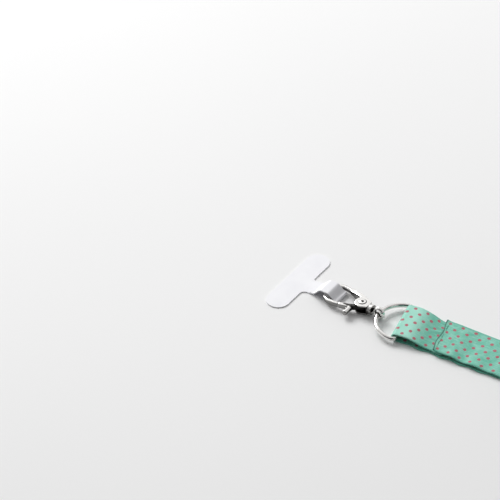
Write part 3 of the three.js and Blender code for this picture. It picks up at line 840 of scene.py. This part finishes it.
def strap_point(x, across, z, length):
    """Lays a point of the ribbon: the sewn end's puckers, the loose legs and a soft crown."""
    side = across / (STRAP_WIDTH / 2)
    tucked_part = length < SEAM_OVERLAP + SEAM + 2
    upper_leg = length > upper_start
    # Gathers just before the seam: the far edge is drawn in, and ridges run along the strap
    if tucked_part and x < SEAM + 0.5:
        near_seam = smoothstep((x - GATHER_START) / (SEAM - GATHER_START))
        comb = abs(math.sin(across * 1.05 + 0.6 + 0.35 * math.sin(across * 0.7)))
        ridge = RIDGE_HEIGHT * (1 - comb) ** 2 * bell(x - SEAM + 1.6, 2.6)
        pleat = PLEAT_HEIGHT * bell(across - 3.5 - (x - SEAM) * 0.5, 1.1) * near_seam
        z += (ridge + pleat) * (1 - max(abs(side) - 0.85, 0) * 4)
        across -= FAR_DRAW * near_seam * smoothstep(side)
        across += NEAR_DRAW * near_seam * smoothstep(-side)
        z += CROWN_HEIGHT * math.sin(math.pi * min(max(x / SEAM, 0), 1)) * (1 - side * side)
    # The upper leg lies loose past the seam, and its cut end curls up and waves
    if upper_leg:
        past_end = x - SEAM - SEAM_OVERLAP
        free = smoothstep(past_end / 4) * (1 - smoothstep((x - LEGS_MEET) / 10))
        z += free * (LEG_LIFT + LEG_WAVE * math.sin(x * 0.42 + 0.6) * (0.4 - 0.6 * side))
        z += STEP_LIFT * bell(past_end - SEAM_RISE, 6) * free
        z += LIP_HEIGHT * bell(x - SEAM, 1.3) * (1.3 + math.sin(across * 0.5 + 1))
        x += END_WAVE * math.sin(across * 0.4 + 0.5) * bell(x - SEAM, 4)
    # The lower leg's near edge waves out a little from under the upper one
    if not tucked_part and not upper_leg and x < BUNDLE_START - STEP_LENGTH:
        loose = smoothstep(x / 8) * (1 - smoothstep((x - 50) / 12))
        across -= EDGE_WAVE * loose * smoothstep(-side) * (1 + math.sin(x * 0.5 + 1))
    return x, across, z


strap = ribbon_sheet("ribbon", line_mm, strap_point)
modifier(strap, "SOLIDIFY", thickness=VISUAL_RIBBON * MM, offset=0, use_even_offset=False)
bevelled(strap, RIBBON_EDGE)
smooth(strap)
place(strap, STRAP)
dress(strap, "strap", "ribbon", cloth, "neck_strap")

# Stitches across the seam: one bead of thread, copied in a zigzag
deselect()
bpy.ops.mesh.primitive_uv_sphere_add(segments=10, ring_count=7, radius=THREAD_RADIUS * MM)
bead = named("stitch")
bpy.ops.transform.resize(value=(1, 4.2, 0.75))
close()
stitch_top = RIBBON / 2 + 2 * LAYER_PITCH + VISUAL_RIBBON / 2 + STITCH_RISE
stitches = []
for lean in (STITCH_LEAN, -STITCH_LEAN):
    across = -STITCH_REACH - lean / 2
    while across < STITCH_REACH + 0.1:
        along, sideways = bent_place(SEAM + STITCH_ROW, across)
        copy = bpy.data.objects.new("stitch_copy", bead.data.copy())
        bpy.context.collection.objects.link(copy)
        copy.matrix_world = STRAP @ Matrix.Translation(
            (along * MM, sideways * MM, stitch_top * MM)
        ) @ Matrix.Rotation(lean, 4, "Z")
        stitches.append(copy)
        across += STITCH_PITCH
bpy.data.objects.remove(bead)
seam = stitches[0]
only(seam)
for copy in stitches:
    copy.select_set(True)
bpy.ops.object.join()
seam.name = "seam_stitches"
place(seam)
smooth(seam)
dress(seam, "strap", "ribbon", thread)


# Tie: a knitted band round the folded runs, its section a rounded box
def tie_line():
    half = STRAP_WIDTH / 2 + RUNNING_GAP + TIE_THICKNESS / 2
    low = TIE_THICKNESS / 2
    high = TIE_LIFT + RUNS * RUN_PITCH - LAYER_GAP + TIE_LIFT - TIE_THICKNESS / 2
    corner = TIE_CORNER - TIE_THICKNESS / 2
    points = [(y, low) for y in (0, 3, 6, 9)]
    points += arc(half - corner, low + corner, corner, -math.pi / 2, 0, 6)
    points += [(half, low + (high - low) * t) for t in (0.3, 0.5, 0.7)]
    points += arc(half - corner, high - corner, corner, 0, math.pi / 2, 6)
    points += [(y, high) for y in (9, 6, 3, 0, -3, -6, -9)]
    points += arc(-half + corner, high - corner, corner, math.pi / 2, math.pi, 6)
    points += [(-half, low + (high - low) * t) for t in (0.7, 0.5, 0.3)]
    points += arc(-half + corner, low + corner, corner, math.pi, 1.5 * math.pi, 6)
    points += [(y, low) for y in (-9, -6, -3)]
    return points


tie_points = tie_line()
vertices, faces, tie_uv, run = [], [], [], 0
middle_x = BUNDLE_START + RUN_LENGTH / 2
count = len(tie_points)
for index, (y, z) in enumerate(tie_points):
    before = tie_points[index - 1]
    run += math.hypot(y - before[0], z - before[1]) if index else 0
    for column in range(TIE_COLUMNS + 1):
        offset_x = TIE_WIDTH * (column / TIE_COLUMNS - 0.5)
        place_x, place_y = bent_place(middle_x + offset_x, y)
        vertices.append((place_x * MM, place_y * MM, z * MM))
        tie_uv.append((offset_x * MM, run * MM))
for row in range(count):
    for column in range(TIE_COLUMNS):
        a = row * (TIE_COLUMNS + 1) + column
        b = (row + 1) % count * (TIE_COLUMNS + 1) + column
        faces.append((a, a + 1, b + 1, b))
mesh = bpy.data.meshes.new("tie")
mesh.from_pydata(vertices, [], faces)
layer = mesh.uv_layers.new(name="UVMap")
tie_length = run + abs(tie_points[0][0] - tie_points[-1][0])
for face in mesh.polygons:
    last = face.index >= (count - 1) * TIE_COLUMNS
    for loop in face.loop_indices:
        u, v = tie_uv[mesh.loops[loop].vertex_index]
        layer.data[loop].uv = (u, tie_length * MM if last and v == 0 else v)
tie = bpy.data.objects.new("tie", mesh)
bpy.context.collection.objects.link(tie)
modifier(tie, "SOLIDIFY", thickness=TIE_THICKNESS * MM, offset=0, use_even_offset=True)
bevelled(tie, TIE_EDGE)
smooth(tie)
place(tie, STRAP)
dress(tie, "strap", "tie_band", knit, "strap_tie")

tie_length * MM

# Floor, light and camera
deselect()
bpy.ops.mesh.primitive_plane_add(size=FLOOR_SIZE, location=(0, 0, -FLOOR_DROP))
floor = bpy.context.object
floor.name = "floor"
paper = Graph("floor_paper", Roughness=0.9, IOR=1.3)
grain = paper.noise(paper.coordinates(), 3, 2)
paper.finish(Base_Color=paper.mix(grain, FLOOR_DULL, FLOOR_PALE))
floor.data.materials.append(paper.material)


def lamp(name, size, power, location, target=(0.1, 0, 0)):
    data = bpy.data.lights.new(name, "AREA")
    data.shape = "RECTANGLE"
    data.size, data.size_y = size
    data.energy = power
    light = bpy.data.objects.new(name, data)
    bpy.context.collection.objects.link(light)
    light.location = location
    aim = Vector(target) - Vector(location)
    light.rotation_euler = aim.to_track_quat("-Z", "Y").to_euler()
    return light


AZIMUTH, ELEVATION = 34 * DEGREE, 39.25 * DEGREE
AIM = Vector((-34.5 * MM, 7.4 * MM, 0))
BACK = Vector((
    math.sin(AZIMUTH) * math.cos(ELEVATION), -math.cos(AZIMUTH) * math.cos(ELEVATION),
    math.sin(ELEVATION),
))
lamp("window", (1.1, 0.7), 30, (-1.35, 0.62, 1.05))
lamp("card", (1.5, 1.5), 2.6, (-0.66, 1.03, 1.01))
lamp("bounce", (0.5, 0.5), 0.5, (0.9, -0.2, 0.6))

world = bpy.data.worlds.new("studio")
bpy.context.scene.world = world
world.use_nodes = True
sky = world.node_tree
background = sky.nodes["Background"]
background.inputs["Strength"].default_value = 0.62
# A bright wall behind the table and a dim room in front of it, which polished metal shows
direction = sky.nodes.new("ShaderNodeTexCoord")
towards = sky.nodes.new("ShaderNodeVectorMath")
towards.operation = "DOT_PRODUCT"
towards.inputs[1].default_value = (math.sin(AZIMUTH), -math.cos(AZIMUTH), 0)
sky.links.new(direction.outputs["Generated"], towards.inputs[0])
room = sky.nodes.new("ShaderNodeValToRGB")
room.color_ramp.elements[0].position = 0.02
room.color_ramp.elements[0].color = (1, 1, 1, 1)
room.color_ramp.elements[1].position = 0.5
room.color_ramp.elements[1].color = (0.06, 0.06, 0.065, 1)
sky.links.new(towards.outputs["Value"], room.inputs[0])
sky.links.new(room.outputs[0], background.inputs["Color"])
clean = sky.nodes.new("ShaderNodeBackground")
clean.inputs["Color"].default_value = (0.82, 0.82, 0.82, 1)
rays = sky.nodes.new("ShaderNodeLightPath")
choice = sky.nodes.new("ShaderNodeMixShader")
sky.links.new(rays.outputs["Is Camera Ray"], choice.inputs[0])
sky.links.new(background.outputs[0], choice.inputs[1])
sky.links.new(clean.outputs[0], choice.inputs[2])
sky.links.new(choice.outputs[0], sky.nodes["World Output"].inputs[0])

camera_data = bpy.data.cameras.new("camera")
camera_data.lens = CAMERA_LENS_MM
camera_data.clip_end = 20
camera = bpy.data.objects.new("camera", camera_data)
bpy.context.collection.objects.link(camera)
camera.location = AIM + BACK * CAMERA_DISTANCE
camera.rotation_euler = BACK.to_track_quat("Z", "Y").to_euler()
bpy.context.scene.camera = camera
bpy.context.scene.view_settings.view_transform = "Standard"
